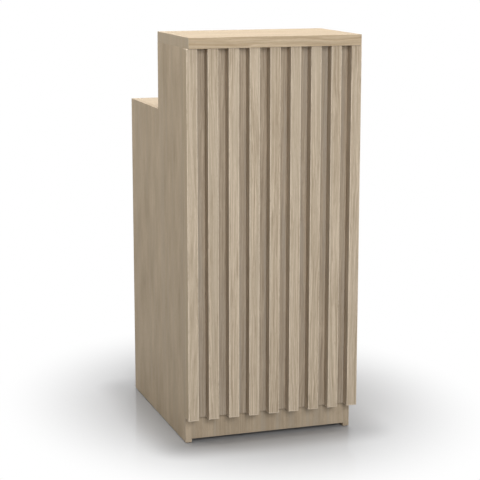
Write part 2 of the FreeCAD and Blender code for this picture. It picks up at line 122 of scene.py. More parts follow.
# a plain board: heart is where the heart of the log lies from the board's middle
oakLook = {
    "grain": "Z", "heart": (0.2, 0.1), "ringGap": 0.008,
    # the light arris colour and its share stand for rubbed wear and a painted highlight together
    "pale": (196, 180, 158), "deep": (168, 151, 129), "ash": (172, 161, 145), "rubbedAndHighlight": (214, 199, 178),
    "figure": 0.3, "streaks": 0.5, "clouds": 0.3, "pores": 0.5,
    "wearAndHighlight": 0.5, "wearAndHighlightReach": 0.0016, "gloss": 0.08, "bump": 0.25, "bumpDepth": 0.0004, "endBand": None,
}
# noise across, across and along the grain
figureLook = {
    "bends": [(dict(scale=(9.0, 9.0, 1.6), detail=3.0), 0.035),
              (dict(scale=(34.0, 34.0, 6.5), detail=3.0), 0.009)],
    "taper": 0.02, "wobble": dict(scale=(55.0, 55.0, 2.6), detail=3.0), "wobbleTurns": 3.2,
    "ringRise": (0.05, 0.8), "ringFall": (1.0, 0.84), "ringMiddle": 0.4,
    "fibre": dict(scale=(900.0, 900.0, 14.0), detail=4.0, roughness=0.62), "fibreSwing": 1.4,
    "streak": dict(scale=(190.0, 190.0, 2.2), detail=3.0, roughness=0.6), "streakSwing": 2.4,
    "drift": dict(scale=(15.0, 15.0, 5.0), detail=4.0, roughness=0.6), "driftSwing": 2.0,
    "toneMiddle": 0.48,
    "ash": dict(scale=(48.0, 48.0, 1.0), detail=3.0), "ashRange": (0.46, 0.7), "ashShare": 0.6,
    "pore": dict(scale=(1900.0, 1900.0, 70.0)), "poreRange": (0.57, 0.7), "poreInRing": 0.6,
    "poreTint": (190, 176, 158),
    "rough": 0.46, "roughStreak": 0.16, "roughPore": 0.15, "fibreRelief": 0.5,
}


def makeOakFigure():
    # grain runs along Z of the vector that comes in
    look = figureLook
    tree, source, result = newGroup("oakFigure", [
        ("Vector", "Vector", None), ("Heart", "Vector", (*oakLook["heart"], 0.0)),
        ("Pale", "Color", tone(*oakLook["pale"])), ("Deep", "Color", tone(*oakLook["deep"])),
        ("Ash", "Color", tone(*oakLook["ash"])), ("Ring Gap", "Float", oakLook["ringGap"]),
        ("Figure", "Float", oakLook["figure"]), ("Streaks", "Float", oakLook["streaks"]),
        ("Clouds", "Float", oakLook["clouds"]), ("Pores", "Float", oakLook["pores"])],
        [("Color", "Color"), ("Roughness", "Float"), ("Height", "Float")])
    place = source["Vector"]
    bent = place
    for field, reach in look["bends"]:
        wander = vectorNode(tree, "SUBTRACT", noise(tree, place, **field)["Color"], (noiseMiddle,) * 3)
        bent = vectorNode(tree, "MULTIPLY_ADD", wander, (reach, reach, 0.0), bent)
    # growth rings: the distance from the heart, in ring gaps
    parts = addNode(tree, "SeparateXYZ", Vector=vectorNode(tree, "SUBTRACT", bent, source["Heart"])).outputs
    radius = vectorNode(tree, "LENGTH", addNode(tree, "CombineXYZ", X=parts[0], Y=parts[1]).outputs[0])
    lean = mathNode(tree, "MULTIPLY", parts[2], look["taper"])
    phase = mathNode(tree, "DIVIDE", mathNode(tree, "ADD", radius, lean), source["Ring Gap"])
    wobble = mathNode(tree, "MULTIPLY", noise(tree, bent, **look["wobble"])[0], look["wobbleTurns"])
    turn = mathNode(tree, "FRACT", mathNode(tree, "ADD", phase, wobble))
    rise = ramp(tree, turn, *look["ringRise"])
    fall = ramp(tree, turn, *look["ringFall"])
    ring = mathNode(tree, "MULTIPLY", rise, fall)
    # rings, streaks, fibres and slow drift add up to the depth of tone
    fibre = noise(tree, bent, **look["fibre"])[0]
    streak = noise(tree, bent, **look["streak"])[0]
    drift = noise(tree, place, **look["drift"])[0]
    depth = mathNode(tree, "MULTIPLY", mathNode(tree, "SUBTRACT", ring, look["ringMiddle"]), source["Figure"])
    swings = [(streak, look["streakSwing"], "Streaks"), (fibre, look["fibreSwing"], "Streaks"),
              (drift, look["driftSwing"], "Clouds")]
    for field, swing, strength in swings:
        moved = mathNode(tree, "MULTIPLY", mathNode(tree, "SUBTRACT", field, noiseMiddle), swing)
        depth = mathNode(tree, "ADD", depth, mathNode(tree, "MULTIPLY", moved, source[strength]))
    depth = mathNode(tree, "ADD", depth, look["toneMiddle"], clamp=True)
    wood = mixColor(tree, depth, source["Pale"], source["Deep"])
    ashField = ramp(tree, noise(tree, bent, **look["ash"])[0], *look["ashRange"])
    wood = mixColor(tree, mathNode(tree, "MULTIPLY", ashField, look["ashShare"]), wood, source["Ash"])
    # short dark pores, fewer in the dense part of a ring
    poreField = ramp(tree, noise(tree, bent, **look["pore"])[0], *look["poreRange"])
    openWood = mathNode(tree, "SUBTRACT", 1.0, mathNode(tree, "MULTIPLY", ring, look["poreInRing"]))
    pore = mathNode(tree, "MULTIPLY", mathNode(tree, "MULTIPLY", poreField, openWood), source["Pores"])
    darker = mixColor(tree, 1.0, wood, tone(*look["poreTint"]), "MULTIPLY")
    setSocket(tree, result["Color"], mixColor(tree, pore, wood, darker))
    rough = mathNode(tree, "ADD", mathNode(tree, "MULTIPLY", streak, look["roughStreak"]), look["rough"])
    poreRough = mathNode(tree, "MULTIPLY", pore, look["roughPore"])
    setSocket(tree, result["Roughness"], mathNode(tree, "ADD", rough, poreRough))
    relief = mathNode(tree, "MULTIPLY", fibre, look["fibreRelief"])
    setSocket(tree, result["Height"], mathNode(tree, "SUBTRACT", relief, pore))
    return tree


wearAndHighlightLook = {"samples": 6, "edgeRange": (0.003, 0.07), "patch": dict(scale=(38.0, 38.0, 38.0), detail=4.0),
            "patchRange": (0.2, 0.56)}


def makeEdgeWearAndHighlight():
    # light rubbed arrises, partly real wear and partly a painted highlight, broken up so that no edge is one
    # even line
    look = wearAndHighlightLook
    tree, source, result = newGroup("edgeWearAndHighlight", [
        ("Vector", "Vector", None), ("Reach", "Float", oakLook["wearAndHighlightReach"])], [("Edge", "Float")])
    soft = addNode(tree, "Bevel", samples=look["samples"], Radius=source["Reach"]).outputs[0]
    flat = addNode(tree, "NewGeometry").outputs["Normal"]
    turned = mathNode(tree, "SUBTRACT", 1.0, vectorNode(tree, "DOT_PRODUCT", soft, flat))
    patchy = ramp(tree, noise(tree, source["Vector"], **look["patch"])[0], *look["patchRange"])
    edge = mathNode(tree, "MULTIPLY", ramp(tree, turned, *look["edgeRange"]), patchy)
    setSocket(tree, result["Edge"], edge)
    return tree


brushLook = {"base": 0.32, "line": dict(scale=(25.0, 2600.0, 2600.0), detail=3.0), "lineSpread": 0.22,
             "cloud": dict(scale=(45.0, 45.0, 45.0), detail=4.0), "cloudSpread": 0.3}


def makeBrushed():
    # fine lines along X of the vector, with a slow cloud of handling marks
    look = brushLook
    tree, source, result = newGroup("brushedMetal", [
        ("Vector", "Vector", None), ("Base", "Float", look["base"])],
        [("Roughness", "Float"), ("Height", "Float"), ("Mark", "Float")])
    line = noise(tree, source["Vector"], **look["line"])[0]
    cloud = noise(tree, source["Vector"], **look["cloud"])[0]
    spread = mathNode(tree, "MULTIPLY", mathNode(tree, "SUBTRACT", line, noiseMiddle), look["lineSpread"])
    smear = mathNode(tree, "MULTIPLY", mathNode(tree, "SUBTRACT", cloud, noiseMiddle), look["cloudSpread"])
    rough = mathNode(tree, "ADD", mathNode(tree, "ADD", source["Base"], spread), smear, clamp=True)
    for name, value in (("Roughness", rough), ("Height", line), ("Mark", cloud)):
        setSocket(tree, result[name], value)
    return tree


oakFigure = makeOakFigure()
edgeWearAndHighlight = makeEdgeWearAndHighlight()
brushedMetal = makeBrushed()
print("shader groups ready")


# materials

quarter = math.pi / 2
grainTurns = {"Z": (0, 0, 0), "X": (0, quarter, 0), "Y": (quarter, 0, 0)}  # turns the board's grain to Z


def startMaterial(name):
    material = bpy.data.materials.new(name)
    material.use_nodes = True
    tree = material.node_tree
    shader = tree.nodes["Principled BSDF"]
    place = tree.nodes.new("ShaderNodeTexCoord").outputs["Object"]
    return material, tree, shader, place


def addBump(tree, shader, height, look):
    bump = addNode(tree, "Bump", Strength=look["bump"], Distance=look["bumpDepth"], Height=height)
    setSocket(tree, shader.inputs["Normal"], bump.outputs[0])


def oakMaterial(name, box=None, log=(0.0, 0.0, 0.0), **changes):
    # the board's middle goes to its own place in the log, and the heart is measured from there
    look = {**oakLook, **changes}
    material, tree, shader, place = startMaterial(name)
    low, high = box or (Vector(), Vector())
    middle = (low + high) / 2

    def veneer(part):
        turn = Euler(grainTurns[part["grain"]]).to_matrix()
        turned = addNode(tree, "Mapping", Vector=place, Rotation=grainTurns[part["grain"]],
                         Location=Vector(log) - turn @ middle)
        heart = (log[0] + part["heart"][0], log[1] + part["heart"][1], log[2])
        return addNode(tree, "Group", node_tree=oakFigure, Vector=turned.outputs[0], Heart=heart,
                       Pale=tone(*part["pale"]), Deep=tone(*part["deep"]), Ash=tone(*part["ash"]),
                       Ring_Gap=part["ringGap"], Figure=part["figure"], Streaks=part["streaks"],
                       Clouds=part["clouds"], Pores=part["pores"]).outputs

    wood = veneer(look)
    color = wood["Color"]
    band = look["endBand"]
    if band:
        # upright veneer bands, on both ends across X or on the front edge
        parts = addNode(tree, "SeparateXYZ", Vector=place).outputs
        if band["edge"] == "ends":
            outward = mathNode(tree, "ABSOLUTE", parts[0])
            reach = max(abs(low.x), abs(high.x)) - band["skin"]
        else:
            outward = mathNode(tree, "MULTIPLY", parts[1], -1.0)
            reach = -low.y - band["skin"]
        inBand = mathNode(tree, "GREATER_THAN", outward, reach)
        color = mixColor(tree, inBand, color, veneer({**look, **band, "grain": "Z"})["Color"])
    # lighter arrises: rubbed wear and a painted highlight at once
    edge = addNode(tree, "Group", node_tree=edgeWearAndHighlight, Vector=place, Reach=look["wearAndHighlightReach"]).outputs["Edge"]
    wearAndHighlightShare = mathNode(tree, "MULTIPLY", edge, look["wearAndHighlight"])
    setSocket(tree, shader.inputs["Base Color"], mixColor(tree, wearAndHighlightShare, color, tone(*look["rubbedAndHighlight"])))
    setSocket(tree, shader.inputs["Roughness"], wood["Roughness"])
    addBump(tree, shader, wood["Height"], look)
    shader.inputs["Specular IOR Level"].default_value = look["gloss"]
    return material


metalLook = {"dull": 0.8, "bump": 0.05, "bumpDepth": 0.0002, "turns": {"X": (0, 0, 0), "Y": (0, 0, quarter)}}


def metalMaterial(name, color, base, grain="X"):
    look = metalLook
    material, tree, shader, place = startMaterial(name)
    turned = addNode(tree, "Mapping", Vector=place, Rotation=look["turns"][grain])
    brushed = addNode(tree, "Group", node_tree=brushedMetal, Vector=turned.outputs[0], Base=base).outputs
    bright = tone(*color)
    dull = (*(channel * look["dull"] for channel in bright[:3]), 1.0)
    setSocket(tree, shader.inputs["Base Color"], mixColor(tree, brushed["Mark"], bright, dull))
    setSocket(tree, shader.inputs["Roughness"], brushed["Roughness"])
    addBump(tree, shader, brushed["Height"], look)
    shader.inputs["Metallic"].default_value = 1.0
    return material


plasticLook = {"color": (34, 34, 36), "lighter": 1.5, "lift": 0.01, "roughness": 0.5, "roughSpread": 0.2,
               "stipple": dict(scale=(1800.0, 1800.0, 1800.0)), "bump": 0.15, "bumpDepth": 0.0002,
               "cloud": dict(scale=(60.0, 60.0, 60.0), detail=4.0)}


def plasticMaterial(name):
    look = plasticLook
    material, tree, shader, place = startMaterial(name)
    cloud = noise(tree, place, **look["cloud"])[0]
    dark = tone(*look["color"])
    lighter = (*(channel * look["lighter"] + look["lift"] for channel in dark[:3]), 1.0)
    setSocket(tree, shader.inputs["Base Color"], mixColor(tree, cloud, dark, lighter))
    smooth = look["roughness"] - look["roughSpread"] / 2
    rough = mathNode(tree, "ADD", mathNode(tree, "MULTIPLY", cloud, look["roughSpread"]), smooth)
    setSocket(tree, shader.inputs["Roughness"], rough)
    addBump(tree, shader, noise(tree, place, **look["stipple"])[0], look)
    return material


def logPlace(logs, number):
    return tuple(step * number + start for start, step in zip(logs["start"], logs["step"]))


# oak boards; a band's skin is how deep it reaches into the rounded edges
boardLogs = {"start": (3.0, 0.0, 0.0), "step": (1.7, 0.9, 1.3)}
sideBand = dict(edge="front", skin=0.0004, pale=(190, 173, 150), deep=(152, 136, 115), figure=0.2,
                streaks=0.3)
outerBand = dict(edge="ends", skin=0.0005, pale=(203, 184, 156), deep=(168, 149, 122), figure=0.1,
                 streaks=0.2)
ledgeBand = dict(edge="ends", skin=0.0004, pale=(202, 184, 158), deep=(170, 152, 127), figure=0.1,
                 streaks=0.2)
sideTone = dict(pale=(202, 183, 156), deep=(169, 150, 124), ash=(182, 166, 144), figure=0.1, ringGap=0.019,
                streaks=0.15, clouds=1.0, endBand=sideBand)
topTone = dict(pale=(204, 185, 158), deep=(172, 151, 123), ash=(184, 170, 148), rubbedAndHighlight=(218, 201, 174),
               grain="X", figure=0.6, ringGap=0.007)
boardLooks = {
    "left_side_panel": dict(sideTone, heart=(0.1, 0.35)),
    "right_side_panel": dict(sideTone, heart=(-0.1, -0.4)),
    # the front panel and the backing sit back behind the slats; their darker tone is partly their own wood
    # and partly painted shade of those recesses
    "front_panel": dict(heart=(-0.4, 0.15), pale=(192, 175, 152), deep=(152, 136, 115), figure=0.15,
                        streaks=0.36, clouds=0.7, wearAndHighlight=0.3),
    "slat_backing": dict(heart=(0.5, 0.2), pale=(192, 177, 157), deep=(148, 133, 115), ash=(165, 156, 144),
                         streaks=0.6, wearAndHighlight=0.1, endBand=outerBand),
    "ledge": dict(topTone, heart=(0.1, 0.22), streaks=0.6, gloss=0.1, endBand=ledgeBand),
    "worktop": dict(topTone, heart=(-0.12, 0.1), streaks=0.7, gloss=0.25),
    "bottom_panel": dict(grain="X", heart=(-0.1, 0.15)),
    "fixed_shelf": dict(grain="X", heart=(-0.12, -0.1)),
    "adjustable_shelf": dict(grain="X", heart=(-0.09, 0.05)),
    "rear_rail": dict(grain="X", heart=(0.2, -0.1)),
    "rear_plinth": dict(grain="X", heart=(-0.2, -0.1)),
    "drawer_front": dict(grain="X", heart=(0.04, -0.12), figure=0.4),
}
for number, (board, look) in enumerate(boardLooks.items()):
    log = logPlace(boardLogs, number)
    nodes[board].data.materials[0] = oakMaterial("oak_" + board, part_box(board), log, **look)

# slats: each has its own place in the log, and a slightly different tone
slatLook = {"count": 9, "logs": {"start": (0.0, 0.0, 0.0), "step": (0.37, 2.3, 0.71)},
            "toneSpread": 3.0, "toneTurn": 2.4, "heartAcross": 0.16, "heartDepth": 0.1, "heartSpread": 0.06,
            "heartTurn": 1.7, "pale": (211, 195, 173), "deep": (160, 143, 121)}
# slat arrises get a strong light edge, mostly a painted highlight and partly rubbed wear
slatTone = dict(ash=(191, 177, 157), rubbedAndHighlight=(243, 229, 208), figure=0.3, streaks=0.72, wearAndHighlight=0.85,
                wearAndHighlightReach=0.0042)
for number in range(1, slatLook["count"] + 1):
    node = "slat_%d" % number
    lift = slatLook["toneSpread"] * math.sin(number * slatLook["toneTurn"])
    across = slatLook["heartAcross"] * (1 if number % 2 else -1)
    depth = slatLook["heartDepth"] + slatLook["heartSpread"] * math.cos(number * slatLook["heartTurn"])
    nodes[node].data.materials[0] = oakMaterial(
        "oak_" + node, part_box(node), logPlace(slatLook["logs"], number), heart=(across, depth),
        pale=tuple(level + lift for level in slatLook["pale"]),
        deep=tuple(level + lift for level in slatLook["deep"]),
        endBand=outerBand if number in (1, slatLook["count"]) else None, **slatTone)

# birch drawer boards
drawerLogs = {"start": (0.0, 5.0, 0.0), "step": (0.8, 1.0, 0.6)}
drawerTone = dict(pale=(222, 205, 172), deep=(196, 174, 138), ash=(208, 194, 164), ringGap=0.011, figure=0.3,
                  streaks=0.4, pores=0.15)
drawerGrain = {"drawer_left_side": "Y", "drawer_right_side": "Y", "drawer_back": "X", "drawer_base": "Y"}
for number, (board, grain) in enumerate(drawerGrain.items()):
    log = logPlace(drawerLogs, number)
    birch = oakMaterial("birch_" + board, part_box(board), log, grain=grain, **drawerTone)
    nodes[board].data.materials[0] = birch

# fittings: base is the roughness of the bare metal
metalLooks = {
    "runner_zinc": dict(color=(196, 198, 200), base=0.34, grain="Y"),
    "cast_zinc": dict(color=(178, 180, 184), base=0.46),
    "screw_zinc": dict(color=(182, 180, 173), base=0.3),
    "handle_satin": dict(color=(178, 178, 176), base=0.32),
    "lock_bright": dict(color=(184, 185, 188), base=0.16),
}
dowelTone = dict(pale=(214, 184, 146), deep=(184, 150, 112), figure=0.2, pores=0.2)
finishes = {name: metalMaterial(name, **look) for name, look in metalLooks.items()}
finishes["black_plastic"] = plasticMaterial("black_plastic")
finishes["beech_dowel"] = oakMaterial("beech_dowel", **dowelTone)
finishMembers = {
    "runner_zinc": ["runner_cabinet_left", "runner_cabinet_right", "runner_middle_left",
                    "runner_middle_right", "runner_drawer_left", "runner_drawer_right"],
    "cast_zinc": ["cam_discs", "cam_bolts", "shelf_pins"],
    "screw_zinc": ["slat_screws", "backing_screws", "runner_screws", "drawer_runner_screws", "handle_screws"],
    "handle_satin": ["drawer_handle"],
    "lock_bright": ["lock_housing", "lock_nut", "lock_barrel", "lock_cam", "lock_cam_screw"],
    "black_plastic": ["cable_grommet", "floor_glides"],
    "beech_dowel": ["dowels", "drawer_dowels"],
}
for name, members in finishMembers.items():
    for member in members:
        nodes[member].data.materials[0] = finishes[name]
print("materials assigned")


# fittings that take the place of plain solids

axisTurns = {"Z": Matrix(), "Y": Matrix.Rotation(-quarter, 4, "X"), "X": Matrix.Rotation(quarter, 4, "Y")}
weldGap = 0.000002
sharpAngle = math.radians(35)


def lathe(shape, profile, place, axis="Z", steps=40, closed=False):
    # profile is a run of (radius, distance along the axis)
    corners = [shape.verts.new((radius, 0.0, along)) for radius, along in profile]
    pairs = list(zip(corners, corners[1:])) + ([(corners[-1], corners[0])] if closed else [])
    edges = [shape.edges.new(pair) for pair in pairs]
    before = set(shape.verts) - set(corners)
    bmesh.ops.spin(shape, geom=corners + edges, cent=(0, 0, 0), axis=(0, 0, 1), angle=math.tau, steps=steps,
                   use_merge=True)
    made = [corner for corner in shape.verts if corner not in before]
    bmesh.ops.transform(shape, matrix=Matrix.Translation(place) @ axisTurns[axis], verts=made)


def crown(outer, outerSteps, bore, boreSteps, top):
    # the rounded top of a turned ring: each step is (distance from the wall, drop from the top)
    rim = [(outer - inset, top - drop) for inset, drop in outerSteps]
    return rim + [(bore + inset, top - drop) for inset, drop in boreSteps]


def roundSlot(shape, length, width, segments=20):
    # a slot with half-round ends, along X
    corners = bmesh.ops.create_circle(shape, segments=segments, radius=width / 2)["verts"]
    for corner in corners:
        corner.co.x += math.copysign((length - width) / 2, corner.co.x)
    return corners, list({edge for corner in corners for edge in corner.link_edges})


def extruded(shape, edges):
    # extrudes edges in place, and gives the new corners and the edges between them
    made = bmesh.ops.extrude_edge_only(shape, edges=edges)["geom"]
    corners = [item for item in made if isinstance(item, bmesh.types.BMVert)]
    ends = [item for item in made if isinstance(item, bmesh.types.BMEdge)
            and all(corner in corners for corner in item.verts)]
    return corners, ends


def finishPiece(name, shape, finish, body, replaced=()):
    bmesh.ops.remove_doubles(shape, verts=shape.verts, dist=weldGap)
    bmesh.ops.recalc_face_normals(shape, faces=shape.faces)
    mesh = bpy.data.meshes.new(name)
    shape.to_mesh(mesh)
    shape.free()
    mesh.shade_smooth()
    mesh.set_sharp_from_angle(angle=sharpAngle)
    mesh.materials.append(finishes[finish])
    piece = bpy.data.objects.new(name, mesh)
    bpy.context.scene.collection.objects.link(piece)
    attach(piece, body)
    if replaced:
        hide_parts(*replaced)


# drawer lock on the joint's own axis; heights are measured from the drawer front
lockLook = {
    "place": next(joint["pos_m"] for joint in frame["joints"] if joint["name"] == "lock_turn"),
    "bore": 0.00605, "tube": 0.009, "tail": -0.0214, "tailEdge": 0.0006, "steps": 64,
    "rim": 0.0115, "rimHeight": 0.002,
    "rimSteps": [(0.0, 0.0012), (0.0003, 0.0006), (0.001, 0.0001), (0.0018, 0.0)],
    "boreSteps": [(0.0016, 0.0004), (0.0009, 0.0001), (0.0004, 0.0002), (0.0, 0.0007)],
    "plug": 0.006, "plugEdge": 0.0004, "plugFace": 0.0017, "plugTail": -0.0217, "plugSteps": 48,
    "keyWidth": 0.0014, "keyHeight": 0.007, "keyDepth": 0.003,
}


def makeLock():
    look = lockLook
    shape = bmesh.new()
    bore, tube, tail, cut = look["bore"], look["tube"], look["tail"], look["tailEdge"]
    profile = [(bore, tail), (tube - cut, tail), (tube, tail + cut), (tube, 0.0), (look["rim"], 0.0)]
    profile += crown(look["rim"], look["rimSteps"], bore, look["boreSteps"], look["rimHeight"])
    lathe(shape, profile, look["place"], "Y", steps=look["steps"], closed=True)
    finishPiece("lock_rim", shape, "lock_bright", "drawer", ["lock_housing"])

    # plug with its keyway, face up and then turned to the staff side
    shape = bmesh.new()
    faceRadius = look["plug"] - look["plugEdge"]
    ring = bmesh.ops.create_circle(shape, segments=look["plugSteps"], radius=faceRadius)["verts"]
    ringEdges = list({edge for corner in ring for edge in corner.link_edges})
    slot, slotEdges = roundSlot(shape, look["keyHeight"], look["keyWidth"])
    bmesh.ops.rotate(shape, cent=(0, 0, 0), matrix=Matrix.Rotation(quarter, 3, "Z"), verts=slot)
    bmesh.ops.triangle_fill(shape, edges=ringEdges + slotEdges, use_beauty=True)
    corners, keyFloor = extruded(shape, slotEdges)
    bmesh.ops.translate(shape, vec=(0, 0, -look["keyDepth"]), verts=corners)
    bmesh.ops.contextual_create(shape, geom=keyFloor)
    wall = ringEdges
    for drop in (look["plugEdge"], look["plugFace"] - look["plugTail"]):
        corners, wall = extruded(shape, wall)
        for corner in corners:
            corner.co.xy = corner.co.xy.normalized() * look["plug"]
            corner.co.z = -drop
    bmesh.ops.contextual_create(shape, geom=wall)
    face = Vector(look["place"]) + Vector((0.0, look["plugFace"], 0.0))
    bmesh.ops.transform(shape, matrix=Matrix.Translation(face) @ axisTurns["Y"], verts=shape.verts)
    finishPiece("lock_plug", shape, "lock_bright", "lock", ["lock_barrel"])


# cable port ring under the ledge; heights are measured from the worktop
grommetLook = {
    "place": (0.0, -0.197, 0.928), "bore": 0.027, "tube": 0.03, "flange": 0.035, "lip": 0.0025, "steps": 72,
    "tail": -0.025, "tailEdge": 0.0012, "tailRise": 0.002, "neck": 0.0002,
    "ribs": 3, "ribStart": 0.005, "ribGap": 0.006, "ribDepth": 0.0004, "ribTip": 0.0012, "ribEnd": 0.0014,
    "flangeSteps": [(0.0, 0.0019), (0.0004, 0.0011), (0.0014, 0.0003), (0.0026, 0.0)],
    "boreSteps": [(0.0022, 0.0002), (0.0012, 0.0006), (0.0003, 0.0016), (0.0, 0.003)],
}


def makeGrommet():
    look = grommetLook
    shape = bmesh.new()
    tube, tail = look["tube"], look["tail"]
    sleeve = tube - look["ribDepth"]
    profile = [(look["bore"], tail), (tube - look["tailEdge"], tail), (sleeve, tail + look["tailRise"])]
    for number in range(look["ribs"]):
        rib = tail + look["ribStart"] + look["ribGap"] * number
        profile += [(sleeve, rib), (tube, rib + look["ribTip"]), (sleeve, rib + look["ribEnd"])]
    profile += [(tube - look["neck"], 0.0), (look["flange"], 0.0)]
    profile += crown(look["flange"], look["flangeSteps"], look["bore"], look["boreSteps"], look["lip"])
    lathe(shape, profile, look["place"], steps=look["steps"], closed=True)
    finishPiece("grommet_ring", shape, "black_plastic", "carcass", ["cable_grommet"])


# nail-on glides under the side panels; the sole's steps are (distance from the wall, height)
glideLook = {"x": 0.241, "rows": (-0.235, 0.257), "radius": 0.008, "height": 0.002, "steps": 32,
             "sole": [(0.0014, 0.0), (0.0005, 0.0004), (0.0, 0.0011)],
             "nail": 0.001, "nailTop": 0.014, "nailPoint": 0.002}


def makeGlides():
    look = glideLook
    shape = bmesh.new()
    profile = [(0.0, 0.0)] + [(look["radius"] - inset, rise) for inset, rise in look["sole"]]
    profile += [(look["radius"], look["height"]), (look["nail"], look["height"]),
                (look["nail"], look["nailTop"] - look["nailPoint"]), (0.0, look["nailTop"])]
    for x in (-look["x"], look["x"]):
        for y in look["rows"]:
            lathe(shape, profile, (x, y, 0.0), steps=look["steps"])
    finishPiece("glide_feet", shape, "black_plastic", "carcass", ["floor_glides"])


# plug-in supports of the adjustable shelf
supportLook = {"wall": 0.232, "rows": (-0.187, 0.227), "top": 0.3905, "plate": (0.009, 0.009, 0.003),
               "edge": 0.0007, "edgeSteps": 2, "pin": 0.00245, "pinReach": 0.0119, "pinEdge": 0.0006,
               "steps": 24}


def makeSupports():
    look = supportLook
    shape = bmesh.new()
    width, height = look["plate"][0], look["plate"][2]
    pin, reach, cut = look["pin"], look["pinReach"], look["pinEdge"]
    profile = [(0.0, 0.0), (pin, 0.0), (pin, reach - cut), (pin - cut, reach), (0.0, reach)]
    for side in (-1, 1):
        outward = [(radius, side * along) for radius, along in profile]
        for y in look["rows"]:
            corners = bmesh.ops.create_cube(shape, size=1.0)["verts"]
            middle = (side * (look["wall"] - width / 2), y, look["top"] - height / 2)
            bmesh.ops.scale(shape, vec=look["plate"], verts=corners)
            bmesh.ops.translate(shape, vec=middle, verts=corners)
            rims = list({edge for corner in corners for edge in corner.link_edges})
            bmesh.ops.bevel(shape, geom=rims, offset=look["edge"], affect="EDGES", segments=look["edgeSteps"],
                            profile=0.5, material=-1)
            lathe(shape, outward, (side * look["wall"], y, look["top"] - pin), "X", steps=look["steps"])
    finishPiece("shelf_supports", shape, "cast_zinc", "carcass", ["shelf_pins"])


# bent bar handle: one leg, a quarter bend and half the bar, then mirrored
handleLook = {"legX": 0.064, "foot": 0.297, "barY": 0.324, "height": 0.784, "radius": 0.005, "bend": 0.012,
              "steps": 32, "bendSteps": 10, "seamGap": 0.00001}


def makeHandle():
    look = handleLook
    legX, foot, height, bend = look["legX"], look["foot"], look["height"], look["bend"]
    bendY = look["barY"] - bend
    shape = bmesh.new()
    ring = bmesh.ops.create_circle(shape, segments=look["steps"], radius=look["radius"])["verts"]
    bmesh.ops.rotate(shape, cent=(0, 0, 0), matrix=Matrix.Rotation(quarter, 3, "X"), verts=ring)
    bmesh.ops.translate(shape, vec=(-legX, foot, height), verts=ring)
    corners, loop = extruded(shape, shape.edges[:])
    bmesh.ops.translate(shape, vec=(0, bendY - foot, 0), verts=corners)
    last = bmesh.ops.spin(shape, geom=corners + loop, cent=(bend - legX, bendY, height), axis=(0, 0, 1),
                          angle=-quarter, steps=look["bendSteps"])["geom_last"]
    barEnd = extruded(shape, [item for item in last if isinstance(item, bmesh.types.BMEdge)])[0]
    for corner in barEnd:
        corner.co.x = 0.0
    half = shape.verts[:] + shape.edges[:] + shape.faces[:]
    bmesh.ops.mirror(shape, geom=half, axis="X", merge_dist=look["seamGap"])
    bmesh.ops.holes_fill(shape, edges=[edge for edge in shape.edges if edge.is_boundary])
    finishPiece("bar_handle", shape, "handle_satin", "drawer", ["drawer_handle"])


# turned collars at the feet of the drawer handle
collarLook = {"bore": 0.0051, "radius": 0.0085, "height": 0.003, "steps": 48,
              "rimSteps": [(0.0, 0.0018), (0.0005, 0.0009), (0.0015, 0.0003)],
              "boreSteps": [(0.0008, 0.0), (0.0, 0.0004)]}


def makeCollars():
    look = collarLook
    shape = bmesh.new()
    profile = [(look["bore"], 0.0), (look["radius"], 0.0)]
    profile += crown(look["radius"], look["rimSteps"], look["bore"], look["boreSteps"], look["height"])
    for x in (-handleLook["legX"], handleLook["legX"]):
        place = (x, handleLook["foot"], handleLook["height"])
        lathe(shape, profile, place, "Y", steps=look["steps"], closed=True)
    finishPiece("handle_collars", shape, "handle_satin", "drawer")


# roll-formed runner channels in the boxes of their nodes; the web lies on the wall's or the drawer's side
runnerLook = {"sheet": 0.0012, "bend": 0.0016, "bendSteps": 4, "slotLength": 0.026, "slotHeight": 0.0055,
              "slotTurn": Matrix(((0, 0, 1, 0), (1, 0, 0, 0), (0, 1, 0, 0), (0, 0, 0, 1))),
              "channels": {"cabinet": dict(web="wall", slots=(-0.052, 0.03, 0.116, 0.2)),
                           "middle": dict(web="wall", slots=(-0.085, -0.01, 0.077, 0.16, 0.24)),
                           "drawer": dict(web="drawer", slots=(-0.052, 0.03, 0.116, 0.2))}}
runnerBodies = {"cabinet": "carcass", "drawer": "drawer"}


def makeRunner(part, sideName):
    look = runnerLook
    channel = look["channels"][part]
    node = "runner_%s_%s" % (part, sideName)
    low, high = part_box(node)
    wallX, drawerX = (low.x, high.x) if sideName == "left" else (high.x, low.x)
    webX, mouthX = (wallX, drawerX) if channel["web"] == "wall" else (drawerX, wallX)
    shape = bmesh.new()
    corners = [shape.verts.new((webX, y, z)) for y, z in (
        (low.y, low.z), (high.y, low.z), (high.y, high.z), (low.y, high.z))]
    outline = [shape.edges.new((corners[n], corners[(n + 1) % 4])) for n in range(4)]
    holes = []
    for y in channel["slots"]:
        slot, slotEdges = roundSlot(shape, look["slotLength"], look["slotHeight"])
        place = Matrix.Translation((webX, y, (low.z + high.z) / 2))
        bmesh.ops.transform(shape, matrix=place @ look["slotTurn"], verts=slot)
        holes += slotEdges
    bmesh.ops.triangle_fill(shape, edges=outline + holes, use_beauty=True)
    bends = [outline[0], outline[2]]
    mouth = extruded(shape, bends)[0]
    bmesh.ops.translate(shape, vec=(mouthX - webX, 0, 0), verts=mouth)
    bmesh.ops.bevel(shape, geom=bends, offset=look["bend"], affect="EDGES", segments=look["bendSteps"],
                    profile=0.5, material=-1)
    # the sheet gets its thickness inwards, so the web has to face outwards first
    bmesh.ops.recalc_face_normals(shape, faces=shape.faces)
    web = max(shape.faces, key=lambda face: abs(face.normal.x))
    if web.normal.x * (webX - mouthX) < 0:
        bmesh.ops.reverse_faces(shape, faces=shape.faces)
    bmesh.ops.solidify(shape, geom=shape.faces, thickness=look["sheet"])
    finishPiece("channel_%s_%s" % (part, sideName), shape, "runner_zinc",
                runnerBodies.get(part, sideName + "_runner"), [node])


makeLock()
makeGrommet()
makeGlides()
makeSupports()
makeHandle()
makeCollars()
for part in runnerLook["channels"]:
    makeRunner(part, "left")
    makeRunner(part, "right")
print("fittings modelled")
